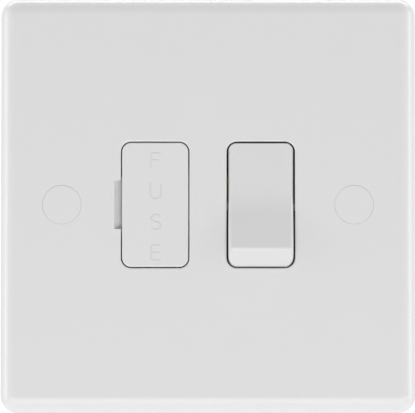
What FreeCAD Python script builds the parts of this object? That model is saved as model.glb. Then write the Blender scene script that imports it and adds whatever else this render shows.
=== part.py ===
import FreeCAD, Part
import os
import re

import Sketcher

# Fused spur unit, single gang, with a double-pole rocker switch and a drawn-out fuse carrier.
# Millimetres. X runs right, Y back into the wall, Z up. The wall plane is Y = 0 and the origin
# lies on it, midway between the two fixing screws.

os.makedirs("parts", exist_ok=True)
doc = FreeCAD.newDocument("fused_spur_unit")

SIZES = {
    # Faceplate
    "plate_size": 86.0,
    "plate_depth": 9.0,
    "plate_corner": 3.8,
    "plate_draft": 1.5,
    "edge_roll": 3.2,
    "face_wall": 2.4,
    "skirt_wall": 2.4,
    "skirt_corner": 1.4,
    "rib_wall": 1.4,
    # Openings for the carrier and the rocker
    "function_offset": 10.9,
    "opening_width": 14.1,
    "opening_height": 26.1,
    "opening_corner": 2.1,
    "opening_round": 0.35,
    "guide_depth": 4.3,
    # Finger notch beside the carrier
    "notch_width": 1.4,
    "notch_height": 10.0,
    "notch_step": 0.5,
    "notch_depth": 1.6,
    # Fixing screws and their caps
    "fixing_spacing": 60.3,
    "cap_diameter": 8.0,
    "cap_thickness": 1.2,
    "cap_clearance": 0.03,
    "cap_round": 0.06,
    "spigot_radius": 3.7,
    "spigot_wall": 0.8,
    "spigot_length": 0.8,
    "head_bore_depth": 3.3,
    "seat_thickness": 3.0,
    "boss_radius": 5.2,
    "clearance_hole_radius": 2.0,
    "screw_head_radius": 3.3,
    "screw_head_height": 2.3,
    "screw_neck_radius": 1.55,
    "screw_thread_radius": 1.75,
    "fixing_screw_length": 25.0,
    "head_round": 0.575,
    "screw_slot": 0.9,
    "slot_depth": 1.1,
    # Rear housing
    "housing_width": 49.5,
    "housing_height": 52.0,
    "housing_corner": 2.5,
    "housing_inner_corner": 0.4,
    "housing_round": 1.0,
    "housing_wall": 1.5,
    "back_wall": 1.6,
    "rim_gap": 1.0,
    "nest_gap": 0.2,
    "lug_set": 2.85,
    "lug_height": 15.0,
    "lug_radius": 3.0,
    "lug_thickness": 3.5,
    "pillar_length": 3.3,
    "pillar_radius": 2.6,
    "chamber_wall": 1.2,
    "chamber_gap": 0.3,
    "slot_overrun": 0.3,
    "deck_lip": 1.3,
    "scallop_gap": 0.4,
    # Screws that hold the rear housing
    "housing_screw_radius": 1.25,
    "housing_screw_length": 7.5,
    "housing_head_radius": 2.3,
    "housing_head_height": 1.6,
    "housing_slot": 0.45,
    "housing_slot_depth": 0.55,
    "pilot_clearance": 0.05,
    "lug_hole_clearance": 0.2,
    # Rocker
    "rocker_gap": 0.36,
    "rocker_end_gap": 0.4,
    "rocker_swing": 16.0,
    "pivot_depth": 4.5,
    "crest_set": 2.52,
    "bevel_run": 3.0,
    "rocker_hollow": 1.6,
    "hollow_inset": 1.92,
    "crest_inset": 0.8,
    "bevel_inset": 0.4,
    "crest_round": 0.8,
    "rocker_edge": 0.8,
    "rocker_cheek": 1.5,
    "rocker_blend": 18.0,
    "rocker_skirt": 2.08,
    "swing_clearance": 0.3,
    "hub_radius": 2.4,
    "trunnion_radius": 1.25,
    "trunnion_length": 1.2,
    "running_clearance": 0.05,
    "cheek_thickness": 2.0,
    "cheek_height": 11.0,
    "cheek_depth": 5.1,
    "post_height": 2.4,
    # Plungers and springs in the rocker's stem
    "pole_offset": 3.4,
    "stem_width": 10.4,
    "stem_thickness": 4.8,
    "stem_length": 6.3,
    "plunger_reach": 9.0,
    "plunger_tip_radius": 1.2,
    "plunger_radius": 1.35,
    "plunger_length": 5.4,
    "plunger_clearance": 0.05,
    "bore_clearance": 0.1,
    "spring_wire": 0.4,
    "spring_radius": 1.05,
    "spring_pitch": 0.8,
    "spring_length": 3.6,
    # See-saw contacts
    "contact_tilt": 10.0,
    "arm_thickness": 1.0,
    "arm_width": 4.0,
    "arm_reach": 7.2,
    "ridge_radius": 0.52,
    "ridge_clearance": 0.08,
    "fin_thickness": 0.9,
    "tip_reach": 6.0,
    "tip_radius": 1.2,
    "tip_thickness": 0.8,
    "contact_clearance": 0.05,
    "rivet_shank": 0.45,
    # Straps
    "strap_thickness": 0.8,
    "strap_width": 3.0,
    "strap_clearance": 0.1,
    # Fuse carrier, clips and cartridge fuse
    "carrier_gap": 0.21,
    "carrier_thickness": 2.0,
    "carrier_round": 0.3,
    "carrier_wall": 1.3,
    "carrier_wall_offset": 4.7,
    "carrier_wall_height": 24.0,
    "carrier_wall_depth": 9.0,
    "leg_height": 9.2,
    "leg_reach": 13.2,
    "lug_hook": 0.8,
    "hook_thickness": 1.2,
    "ledge_clearance": 0.2,
    "ledge_gap": 0.1,
    "ledge_thickness": 1.5,
    "ledge_height": 12.0,
    "cradle_height": 10.0,
    "cradle_clearance": 0.1,
    "cradle_grip": 1.3,
    "fuse_length": 25.4,
    "fuse_radius": 3.175,
    "fuse_cap_length": 5.5,
    "fuse_cap_wall": 0.3,
    "cap_fit": 0.02,
    "barrel_wall": 0.9,
    "element_radius": 0.2,
    "clip_thickness": 0.7,
    "clip_clearance": 0.1,
    "clip_width": 5.0,
    "clip_offset": 9.7,
    "clip_reach": 2.2,
    "clip_flare": 0.5,
    # Wire terminals
    "terminal_width": 8.0,
    "terminal_depth": 9.0,
    "terminal_length": 9.0,
    "terminal_round": 0.4,
    "terminal_set": 4.9,
    "terminal_pad": 2.0,
    "wire_radius": 2.2,
    "wire_wall": 1.4,
    "wire_bore_length": 7.0,
    "port_clearance": 0.6,
    "clamp_screw_radius": 2.0,
    "clamp_screw_clearance": 0.05,
    "clamp_screw_length": 4.6,
    "clamp_screw_setback": 0.7,
    "well_clearance": 0.6,
    "earth_offset": 19.0,
    "load_live_offset": 9.3,
    "supply_live_offset": 5.5,
    "neutral_offset": 16.5,
    # Earth strap
    "earth_strap_width": 3.1,
    "earth_strap_offset": 21.2,
    "ear_radius": 3.4,
    "ear_clearance": 0.6,
}

size = doc.addObject("Spreadsheet::Sheet", "size")
for row, (alias, number) in enumerate(SIZES.items(), start=1):
    size.set(f"A{row}", alias)
    size.set(f"B{row}", str(number))
    size.setAlias(f"B{row}", alias)
doc.recompute()


def bound(text):
    """Expression text in which each size is named on the sheet."""
    return re.sub(r"[a-z][a-z_]+(?![a-z_]*\()", r"size.\g<0>", text)


def value(text):
    """Number that an expression comes to."""
    return FreeCAD.Units.Quantity(size.evalExpression(bound(text))).Value


def bind(item, name, text):
    """Tie a property to an expression."""
    item.setExpression(name, bound(text))


# Places that several pieces share, each as an expression on the sheet.
FACE = "(-plate_depth)"
FACE_BACK = f"({FACE} + face_wall)"
HEAD_SEAT = f"({FACE} + cap_thickness + head_bore_depth)"
BOSS_BACK = f"({HEAD_SEAT} + seat_thickness)"
SCREW = "(fixing_spacing / 2)"
LUG = "(housing_width / 2 + lug_set)"
LUG_FRONT = "(-pillar_length)"
LUG_BACK = f"({LUG_FRONT} + lug_thickness)"
CARRIER = "(-function_offset)"
ROCKER = "function_offset"
POLES = {"live": f"({ROCKER} - pole_offset)", "neutral": f"({ROCKER} + pole_offset)"}
PIVOT = f"({FACE} + pivot_depth)"
FULCRUM = f"({PIVOT} + plunger_reach + plunger_clearance + arm_thickness)"
TIP_STACK = "(tip_thickness + contact_clearance + tip_radius)"
RIVET = f"({FULCRUM} + tip_reach * sin(contact_tilt) + {TIP_STACK} * cos(contact_tilt))"
RIVET_UP = f"(tip_reach * cos(contact_tilt) - {TIP_STACK} * sin(contact_tilt))"
STRAP_FRONT = f"({RIVET} + rivet_shank)"
STRAP_BACK = f"({STRAP_FRONT} + strap_thickness)"
FUSE = f"({STRAP_FRONT} - clip_thickness - clip_clearance - fuse_radius)"
TERMINAL_FRONT = f"({STRAP_FRONT} - terminal_set)"
TERMINAL_BACK = f"({TERMINAL_FRONT} + terminal_depth)"
WIRE = f"({TERMINAL_FRONT} + wire_wall + wire_radius)"
TERMINAL_OUT = "(housing_height / 2 - housing_wall - nest_gap)"
TERMINAL_IN = f"({TERMINAL_OUT} - terminal_length)"
TERMINAL_MID = f"({TERMINAL_OUT} - terminal_length / 2)"
DECK_IN = f"({TERMINAL_IN} - deck_lip)"
HOUSING_RIM = f"({FACE_BACK} + rim_gap)"
HOUSING_FLOOR = f"({TERMINAL_BACK} + terminal_pad)"
HOUSING_BACK = f"({HOUSING_FLOOR} + back_wall)"
EAR_BACK = f"({BOSS_BACK} + strap_thickness)"
TERMINALS = {
    "supply_live_terminal": ("supply_live_offset", -1),
    "supply_neutral_terminal": ("neutral_offset", -1),
    "supply_earth_terminal": ("(-earth_offset)", -1),
    "load_live_terminal": ("(-load_live_offset)", 1),
    "load_neutral_terminal": ("neutral_offset", 1),
    "load_earth_terminal": ("(-earth_offset)", 1),
}

# The extrusion axes: the body plane that each is square to, and which way its normal points.
AXES = {"X": ("YZ_Plane", 1), "Y": ("XZ_Plane", -1), "Z": ("XY_Plane", 1)}


def pin(sketch, kind, geometry, point, text):
    """Hold one coordinate of a sketch point to an expression."""
    index = sketch.addConstraint(Sketcher.Constraint(kind, -1, 1, geometry, point, value(text)))
    bind(sketch, f"Constraints[{index}]", text)


def pin_point(sketch, geometry, point, across, up):
    """Hold both coordinates of a sketch point."""
    pin(sketch, "DistanceX", geometry, point, across)
    pin(sketch, "DistanceY", geometry, point, up)


def circle(across, up, radius):
    """Outline of a circle."""

    def draw(sketch):
        centre = FreeCAD.Vector(value(across), value(up), 0)
        ring = sketch.addGeometry(Part.Circle(centre, FreeCAD.Vector(0, 0, 1), value(radius)))
        pin_point(sketch, ring, 3, across, up)
        index = sketch.addConstraint(Sketcher.Constraint("Radius", ring, value(radius)))
        bind(sketch, f"Constraints[{index}]", radius)

    return draw


def polygon(*corners):
    """Outline of straight sides through corners, each corner a pair of expressions."""

    def draw(sketch):
        points = [FreeCAD.Vector(value(across), value(up), 0) for across, up in corners]
        sides = []
        for start, end in zip(points, points[1:] + points[:1]):
            sides.append(sketch.addGeometry(Part.LineSegment(start, end)))
        for side, following in zip(sides, sides[1:] + sides[:1]):
            sketch.addConstraint(Sketcher.Constraint("Coincident", side, 2, following, 1))
        for side, (across, up) in zip(sides, corners):
            pin_point(sketch, side, 1, across, up)

    return draw


def box(left, right, bottom, top):
    """Outline of a rectangle between four expressions."""
    return polygon((left, bottom), (right, bottom), (right, top), (left, top))


def centred_box(across, up, width, height):
    """Outline of a rectangle about its centre."""
    left = f"({across}) - ({width}) / 2"
    right = f"({across}) + ({width}) / 2"
    bottom = f"({up}) - ({height}) / 2"
    top = f"({up}) + ({height}) / 2"
    return box(left, right, bottom, top)


def both_sides(centre, inner, outer, height):
    """Outlines of two bars of one height, each from inner to outer of a centre line."""
    span = (f"-({height}) / 2", f"({height}) / 2")
    return (box(f"{centre} - {outer}", f"{centre} - {inner}", *span),
            box(f"{centre} + {inner}", f"{centre} + {outer}", *span))


def quarter(sketch, turn, across, up, radius):
    """Quarter circle about a centre, from so many quarter turns round."""
    ring = Part.Circle(FreeCAD.Vector(0, 0, 0), FreeCAD.Vector(0, 0, 1), value(radius))
    ring.Center = FreeCAD.Vector(value(across), value(up), 0)
    start = FreeCAD.Units.Quantity(f"{90 * turn} deg").getValueAs("rad").Value
    end = FreeCAD.Units.Quantity(f"{90 * turn + 90} deg").getValueAs("rad").Value
    arc = sketch.addGeometry(Part.ArcOfCircle(ring, start, end))
    pin_point(sketch, arc, 3, across, up)
    index = sketch.addConstraint(Sketcher.Constraint("Radius", arc, value(radius)))
    bind(sketch, f"Constraints[{index}]", radius)
    level, upright = (1, 2) if turn % 2 == 0 else (2, 1)
    sketch.addConstraint(Sketcher.Constraint("Horizontal", arc, 3, arc, level))
    sketch.addConstraint(Sketcher.Constraint("Vertical", arc, 3, arc, upright))
    return arc


def join_ends(sketch, first, second):
    """Side from the end of one edge of a sketch to the start of another."""
    start = sketch.Geometry[first].EndPoint
    end = sketch.Geometry[second].StartPoint
    side = sketch.addGeometry(Part.LineSegment(start, end))
    sketch.addConstraint(Sketcher.Constraint("Coincident", first, 2, side, 1))
    sketch.addConstraint(Sketcher.Constraint("Coincident", second, 1, side, 2))
    return side


def pinned_line(sketch, start, end):
    """Side between two points, each a pair of expressions."""
    ends = [FreeCAD.Vector(value(across), value(up), 0) for across, up in (start, end)]
    side = sketch.addGeometry(Part.LineSegment(*ends))
    pin_point(sketch, side, 1, *start)
    pin_point(sketch, side, 2, *end)
    return side


def rounded_box(across, up, width, height, radius):
    """Outline of a rectangle about its centre, with round corners."""

    def draw(sketch):
        reach_x = f"(({width}) / 2 - ({radius}))"
        reach_z = f"(({height}) / 2 - ({radius}))"
        arcs = []
        for turn, (side_x, side_z) in enumerate([("+", "+"), ("-", "+"), ("-", "-"), ("+", "-")]):
            middle = (f"({across}) {side_x} {reach_x}", f"({up}) {side_z} {reach_z}")
            arcs.append(quarter(sketch, turn, *middle, radius))
        for arc, following in zip(arcs, arcs[1:] + arcs[:1]):
            join_ends(sketch, arc, following)

    return draw


def round_topped(left, right, top, radius):
    """Outline of a bar that stands on the across axis, with its two far corners round."""

    def draw(sketch):
        level = f"({top}) - ({radius})"
        near_arc = quarter(sketch, 0, f"({right}) - ({radius})", level, radius)
        far_arc = quarter(sketch, 1, f"({left}) + ({radius})", level, radius)
        foot = pinned_line(sketch, (left, "0"), (right, "0"))
        join_ends(sketch, near_arc, far_arc)
        join_ends(sketch, far_arc, foot)
        join_ends(sketch, foot, near_arc)

    return draw


def corner_waste(side, across, up, radius, margin):
    """Outline of what a round corner leaves outside it: side is 1 for a right corner, -1 for a left."""

    def draw(sketch):
        sense = "+" if side > 0 else "-"
        middle = f"({across}) - {side} * ({radius})"
        level = f"({up}) - ({radius})"
        outer = f"({across}) {sense} ({margin})"
        top = f"({up}) + ({margin})"
        arc = quarter(sketch, 0 if side > 0 else 1, middle, level, radius)
        if side > 0:
            shell = pinned_line(sketch, (middle, top), (outer, top))
            fall = pinned_line(sketch, (outer, top), (outer, level))
        else:
            shell = pinned_line(sketch, (outer, level), (outer, top))
            fall = pinned_line(sketch, (outer, top), (middle, top))
        join_ends(sketch, arc, shell)
        join_ends(sketch, fall, arc)

    return draw


def new_body(name):
    """Empty body whose label names its file."""
    body = doc.addObject("PartDesign::Body", name)
    body.Label = name
    body.AllowCompound = True
    return body


def new_sketch(body, name, axis, level):
    """Empty sketch on the body's own plane square to an axis, moved to a level on that axis."""
    role, sense = AXES[axis]
    plane = next(item for item in body.Origin.OriginFeatures if item.Role == role)
    sketch = body.newObject("Sketcher::SketchObject", f"{body.Name}_{name}_sketch")
    sketch.AttachmentSupport = [(plane, "")]
    sketch.MapMode = "FlatFace"
    bind(sketch, "AttachmentOffset.Base.z", f"{sense} * ({level})")
    return sketch


def extrude(body, kind, name, axis, low, high, outlines):
    """Pad or pocket between two levels on an axis, from the end that its sketch faces away from."""
    sense = AXES[axis][1] if kind == "Pad" else -AXES[axis][1]
    sketch = new_sketch(body, name, axis, low if sense > 0 else high)
    for draw in outlines:
        draw(sketch)
    feature = body.newObject(f"PartDesign::{kind}", f"{body.Name}_{name}")
    feature.Profile = sketch
    bind(feature, "Length", f"({high}) - ({low})")
    return feature


def add(body, name, axis, low, high, *outlines):
    """Material between two levels on an axis."""
    return extrude(body, "Pad", name, axis, low, high, outlines)


def cut(body, name, axis, low, high, *outlines):
    """Hole or pocket between two levels on an axis."""
    doc.recompute()
    before = body.Shape.Volume
    feature = extrude(body, "Pocket", name, axis, low, high, outlines)
    doc.recompute()
    if body.Shape.Volume >= before:
        raise RuntimeError(f"{feature.Name} removes nothing")
    return feature


def groove(body, name, depth, *outlines):
    """Hollow turned about the body's across direction at a depth, from outlines that lie along it."""
    doc.recompute()
    before = body.Shape.Volume
    sketch = new_sketch(body, name, "Z", "0")
    bind(sketch, "AttachmentOffset.Base.y", depth)
    for draw in outlines:
        draw(sketch)
    feature = body.newObject("PartDesign::Groove", f"{body.Name}_{name}")
    feature.Profile = sketch
    feature.ReferenceAxis = (sketch, ["H_Axis"])
    feature.Angle = 360
    doc.recompute()
    if body.Shape.Volume >= before:
        raise RuntimeError(f"{feature.Name} removes nothing")
    return feature


def round_edges(body, name, radius, chosen):
    """Fillet on each edge of the body so far whose bounding box passes a test."""
    doc.recompute()
    base = body.Tip
    edges = [f"Edge{place}" for place, edge in enumerate(base.Shape.Edges, start=1) if chosen(edge.BoundBox)]
    feature = body.newObject("PartDesign::Fillet", f"{body.Name}_{name}")
    feature.Base = (base, edges)
    bind(feature, "Radius", radius)
    doc.recompute()
    return feature


def near(first, second):
    """True where two numbers agree to a micrometre."""
    return abs(first - second) < 0.001


def at_level(low, high, text):
    """True where an edge lies flat at the level that an expression gives."""
    return near(low, value(text)) and near(high, value(text))


def lug_centres():
    """Centres of the four screws that hold the rear housing to the plate."""
    return [(side, row) for side in (f"-{LUG}", LUG) for row in ("-lug_height", "lug_height")]


def make_faceplate():
    """Moulded plate: rolled edge, two openings, guides, trunnion cheeks, bosses and pillars."""
    plate = new_body("faceplate")
    blank = add(plate, "blank", "Y", FACE, "0",
                rounded_box("0", "0", "plate_size", "plate_size", "plate_corner"))
    bind(blank, "TaperAngle", "-plate_draft")
    round_edges(plate, "roll", "edge_roll", lambda edge: at_level(edge.YMin, edge.YMax, FACE))
    inner = "(plate_size - 2 * skirt_wall)"
    cut(plate, "hollow", "Y", FACE_BACK, "0", rounded_box("0", "0", inner, inner, "skirt_corner"))
    openings = []
    for centre in (CARRIER, ROCKER):
        openings.append(rounded_box(centre, "0", "opening_width", "opening_height", "opening_corner"))
    cut(plate, "openings", "Y", FACE, FACE_BACK, *openings)
    half = value("plate_size") / 3
    round_edges(plate, "opening_edges", "opening_round",
                lambda edge: at_level(edge.YMin, edge.YMax, FACE) and max(edge.XMax, edge.ZMax) < half
                and min(edge.XMin, edge.ZMin) > -half)

    # Rib that the rear housing's rim nests in.
    rim_gap = "2 * nest_gap"
    rim_size = (f"housing_width + {rim_gap}", f"housing_height + {rim_gap}")
    rib_size = [f"{length} + 2 * rib_wall" for length in rim_size]
    add(plate, "rim_rib", "Y", FACE_BACK, f"{LUG_FRONT} - nest_gap",
        rounded_box("0", "0", *rib_size, "housing_corner + rib_wall"),
        rounded_box("0", "0", *rim_size, "housing_corner"))
    add(plate, "fixing_bosses", "Y", FACE_BACK, BOSS_BACK,
        circle(f"-{SCREW}", "0", "boss_radius"), circle(SCREW, "0", "boss_radius"))
    corners = lug_centres()
    add(plate, "pillars", "Y", FACE_BACK, LUG_FRONT,
        *[circle(across, up, "pillar_radius") for across, up in corners])

    # Guide round the carrier, with the two ledges that it seats on and its hooks stop against.
    add(plate, "carrier_guide", "Y", FACE_BACK, f"{FACE_BACK} + guide_depth",
        rounded_box(CARRIER, "0", "opening_width + 2 * rib_wall", "opening_height + 2 * rib_wall",
                    "opening_corner + rib_wall"),
        rounded_box(CARRIER, "0", "opening_width", "opening_height", "opening_corner"))
    ledge_in = "(carrier_wall_offset + carrier_wall + ledge_clearance)"
    ledge_out = "(opening_width / 2 + rib_wall / 2)"
    ledge_front = f"{FACE} + carrier_thickness + ledge_gap"
    add(plate, "ledges", "Y", ledge_front, f"{ledge_front} + ledge_thickness",
        *both_sides(CARRIER, ledge_in, ledge_out, "ledge_height"))

    # Cheeks either side of the rocker, slotted from behind for its trunnions.
    cheek_out = "(opening_width / 2 + cheek_thickness)"
    add(plate, "cheeks", "Y", FACE_BACK, f"{FACE_BACK} + cheek_depth",
        *both_sides(ROCKER, "opening_width / 2", cheek_out, "cheek_height"))
    swing_radius = "(sqrt(pivot_depth ^ 2 + (opening_height / 2 - rocker_end_gap) ^ 2) + swing_clearance)"
    groove(plate, "swing_relief", PIVOT,
           round_topped(f"{ROCKER} - opening_width / 2", f"{ROCKER} + opening_width / 2",
                        swing_radius, "opening_corner"))
    slot_radius = "(trunnion_radius + running_clearance)"
    slot_sides = (f"{ROCKER} - {cheek_out}", f"{ROCKER} + {cheek_out}")
    cut(plate, "trunnion_seats", "X", *slot_sides, circle(PIVOT, "0", slot_radius))
    cut(plate, "trunnion_slots", "X", *slot_sides,
        box(PIVOT, f"{FACE_BACK} + cheek_depth", f"-{slot_radius}", slot_radius))

    # Cap recesses, head bores and clearance holes for the fixing screws.
    stages = [("cap_recesses", FACE, f"{FACE} + cap_thickness", "cap_diameter / 2 + cap_clearance"),
              ("head_bores", f"{FACE} + cap_thickness", HEAD_SEAT, "spigot_radius + cap_clearance"),
              ("screw_holes", HEAD_SEAT, BOSS_BACK, "clearance_hole_radius")]
    for name, front, back, radius in stages:
        cut(plate, name, "Y", front, back, circle(f"-{SCREW}", "0", radius), circle(SCREW, "0", radius))
    cut(plate, "pilot_holes", "Y", f"{LUG_BACK} - housing_screw_length", LUG_FRONT,
        *[circle(across, up, "housing_screw_radius + pilot_clearance") for across, up in corners])

    # Sloping notch that a blade enters to lever the carrier out.
    opening_left = f"{CARRIER} - opening_width / 2"
    cut(plate, "lever_notch", "Z", "-notch_height / 2", "notch_height / 2",
        polygon((f"{opening_left} - notch_width", FACE), (opening_left, FACE),
                (opening_left, f"{FACE} + notch_depth"),
                (f"{opening_left} - notch_width", f"{FACE} + notch_step")))
    return plate


def make_rear_housing():
    """Moulded tray with chambers, terminal nests, posts, wire ports, screw wells and four lugs."""
    tray = new_body("rear_housing")
    add(tray, "shell", "Y", HOUSING_RIM, HOUSING_BACK,
        rounded_box("0", "0", "housing_width", "housing_height", "housing_corner"))
    round_edges(tray, "back_round", "housing_round",
                lambda edge: at_level(edge.YMin, edge.YMax, HOUSING_BACK))
    inner_side = "(housing_width / 2 - housing_wall)"
    inner_end = "(housing_height / 2 - housing_wall)"
    cut(tray, "hollow", "Y", HOUSING_RIM, HOUSING_FLOOR,
        rounded_box("0", "0", f"2 * {inner_side}", f"2 * {inner_end}", "housing_inner_corner"))

    # Screw lugs on the long sides.
    rows = ("(-lug_height)", "lug_height")
    sides = ((f"-{LUG}", "-housing_width / 2 + housing_wall / 2"),
             ("housing_width / 2 - housing_wall / 2", LUG))
    add(tray, "lugs", "Y", LUG_FRONT, LUG_BACK,
        *[box(*side, f"{row} - lug_radius", f"{row} + lug_radius") for side in sides for row in rows])
    centres = lug_centres()
    add(tray, "lug_ends", "Y", LUG_FRONT, LUG_BACK, *[circle(*centre, "lug_radius") for centre in centres])
    cut(tray, "lug_holes", "Y", LUG_FRONT, LUG_BACK,
        *[circle(*centre, "housing_screw_radius + lug_hole_clearance") for centre in centres])

    # Side walls of the fuse chamber and of the rocker chamber.
    guide_back = f"{FACE_BACK} + guide_depth + nest_gap"
    fuse_half = "(opening_width / 2)"
    rocker_half = "(opening_width / 2 + chamber_gap)"
    cheek_back = f"{FACE_BACK} + cheek_depth + nest_gap"
    add(tray, "fuse_chamber", "Y", guide_back, HOUSING_FLOOR,
        *both_sides(CARRIER, fuse_half, f"({fuse_half} + chamber_wall)", f"2 * {DECK_IN}"))
    add(tray, "rocker_chamber", "Y", cheek_back, HOUSING_FLOOR,
        *both_sides(ROCKER, rocker_half, f"({rocker_half} + chamber_wall)", f"2 * {DECK_IN}"))

    # Posts on the rocker chamber that close the trunnion slots from behind.
    post_front = f"{PIVOT} + trunnion_radius + running_clearance"
    add(tray, "trunnion_posts", "Y", post_front, cheek_back,
        *both_sides(ROCKER, rocker_half, f"({rocker_half} + chamber_wall)", "post_height"))

    # Decks that the terminals nest in, top and bottom, and the spare pockets in them.
    deck_front = f"{STRAP_BACK} + strap_clearance"
    add(tray, "decks", "Y", deck_front, HOUSING_FLOOR,
        box(f"-{inner_side}", inner_side, f"-{inner_end}", f"-{DECK_IN}"),
        box(f"-{inner_side}", inner_side, DECK_IN, inner_end))
    nests = []
    ports = {-1: [], 1: []}
    wells = []
    for across, side in TERMINALS.values():
        middle = f"{side} * {TERMINAL_MID}"
        gap = "2 * nest_gap"
        nests.append(centred_box(across, middle, f"terminal_width + {gap}", f"terminal_length + {gap}"))
        ports[side].append(circle(across, WIRE, "wire_radius + port_clearance"))
        wells.append(circle(across, middle, "clamp_screw_radius + well_clearance"))
    cut(tray, "nests", "Y", deck_front, TERMINAL_BACK, *nests)
    edge = "(terminal_width / 2 + nest_gap + chamber_wall)"
    spare_end = f"({inner_end} - chamber_wall)"
    spare_start = f"({DECK_IN} + chamber_wall)"
    cut(tray, "spare_pockets", "Y", deck_front, TERMINAL_BACK,
        box(f"-load_live_offset + {edge}", f"neutral_offset - {edge}", spare_start, spare_end),
        box(f"-earth_offset + {edge}", f"supply_live_offset - {edge}", f"-{spare_end}", f"-{spare_start}"))
    cut(tray, "lower_ports", "Z", "-housing_height / 2", f"-{inner_end}", *ports[-1])
    cut(tray, "upper_ports", "Z", inner_end, "housing_height / 2", *ports[1])
    cut(tray, "screw_wells", "Y", TERMINAL_BACK, HOUSING_BACK, *wells)

    # Posts behind the fuse clips and behind the switch contacts.
    rests = []
    for up in ("-clip_offset", "clip_offset"):
        rests.append(centred_box(CARRIER, up, "clip_width", "clip_width"))
    for across in POLES.values():
        rests.append(box(f"{across} - strap_width / 2", f"{across} + strap_width / 2",
                         "-strap_width / 2", f"{RIVET_UP} + strap_width / 2"))
    add(tray, "contact_posts", "Y", STRAP_BACK, HOUSING_FLOOR, *rests)

    # Slots that let the live strap cross two chamber walls, and the earth ear leave the tray.
    reach = "slot_overrun"
    strap_half = "(strap_width / 2 + strap_clearance)"
    cut(tray, "fuse_wall_slot", "Y", guide_back, f"{STRAP_BACK} + strap_clearance",
        box(f"{CARRIER} + {fuse_half} - {reach}", f"{CARRIER} + {fuse_half} + chamber_wall + {reach}",
            f"-clip_offset - {strap_half}", f"-clip_offset + {strap_half}"))
    cut(tray, "rocker_wall_slot", "Y", cheek_back, f"{STRAP_BACK} + strap_clearance",
        box(f"{ROCKER} - {rocker_half} - chamber_wall - {reach}", f"{ROCKER} - {rocker_half} + {reach}",
            f"{RIVET_UP} - {strap_half}", f"{RIVET_UP} + {strap_half}"))
    ear_half = "(ear_radius + ear_clearance)"
    cut(tray, "ear_slot", "Y", HOUSING_RIM, f"{EAR_BACK} + strap_clearance",
        box("-housing_width / 2 - nest_gap", f"-{inner_side} + nest_gap", f"-{ear_half}", ear_half))

    # Scallops in the long sides that clear the plate's fixing bosses.
    cut(tray, "boss_scallops", "Y", HOUSING_RIM, HOUSING_BACK,
        *[circle(across, "0", "boss_radius + scallop_gap") for across in (f"-{SCREW}", SCREW)])
    return tray


def make_fixing_screws():
    """Two slotted M3.5 screws: head, waisted neck through the boss, thread behind the wall plane."""
    screws = new_body("fixing_screws")
    places = [f"-{SCREW}", SCREW]
    end = f"{HEAD_SEAT} + fixing_screw_length"
    head_front = f"{HEAD_SEAT} - screw_head_height"
    add(screws, "heads", "Y", head_front, HEAD_SEAT, *[circle(x, "0", "screw_head_radius") for x in places])
    add(screws, "necks", "Y", HEAD_SEAT, "0", *[circle(x, "0", "screw_neck_radius") for x in places])
    add(screws, "threads", "Y", "0", end, *[circle(x, "0", "screw_thread_radius") for x in places])
    cut(screws, "slots", "Y", head_front, f"{head_front} + slot_depth",
        *[centred_box(x, "0", "2 * screw_head_radius", "screw_slot") for x in places])
    round_edges(screws, "crowns", "head_round",
                lambda edge: at_level(edge.YMin, edge.YMax, head_front)
                and edge.ZLength > 2 * value("screw_slot"))
    return screws


def make_housing_screws():
    """Four pan-head screws through the housing's lugs into the plate's pillars."""
    screws = new_body("housing_screws")
    spots = lug_centres()
    head_back = f"{LUG_BACK} + housing_head_height"
    add(screws, "heads", "Y", LUG_BACK, head_back, *[circle(*spot, "housing_head_radius") for spot in spots])
    add(screws, "shanks", "Y", f"{LUG_BACK} - housing_screw_length", LUG_BACK,
        *[circle(*spot, "housing_screw_radius") for spot in spots])
    cut(screws, "slots", "Y", f"{head_back} - housing_slot_depth", head_back,
        *[centred_box(*spot, "2 * housing_head_radius", "housing_slot") for spot in spots])
    return screws


def make_terminal(name, across, side):
    """Brass pillar block: blind wire bore from its outer end, clamping screw hole from behind."""
    block = new_body(name)
    low = f"{side} * {TERMINAL_MID} - terminal_length / 2"
    high = f"{side} * {TERMINAL_MID} + terminal_length / 2"
    left = f"{across} - terminal_width / 2"
    right = f"{across} + terminal_width / 2"
    add(block, "bar", "Z", low, high, box(left, right, TERMINAL_FRONT, TERMINAL_BACK))
    round_edges(block, "edges", "terminal_round",
                lambda edge: near(edge.ZLength, value("terminal_length")))
    bore_low = low if side < 0 else f"{high} - wire_bore_length"
    bore_high = f"{low} + wire_bore_length" if side < 0 else high
    cut(block, "wire_bore", "Z", bore_low, bore_high, circle(across, WIRE, "wire_radius"))
    cut(block, "screw_hole", "Y", WIRE, TERMINAL_BACK,
        circle(across, f"{side} * {TERMINAL_MID}", "clamp_screw_radius"))
    return block


def make_terminal_screws():
    """Six slotted grub screws, backed off until they clear the wire bores."""
    screws = new_body("terminal_screws")
    front = f"{WIRE} + wire_radius + clamp_screw_setback"
    back = f"{front} + clamp_screw_length"
    spots = [(across, f"{side} * {TERMINAL_MID}") for across, side in TERMINALS.values()]
    radius = "clamp_screw_radius - clamp_screw_clearance"
    add(screws, "shanks", "Y", front, back, *[circle(*spot, radius) for spot in spots])
    cut(screws, "slots", "Y", f"{back} - slot_depth", back,
        *[centred_box(*spot, "2 * clamp_screw_radius", "screw_slot") for spot in spots])
    return screws


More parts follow.
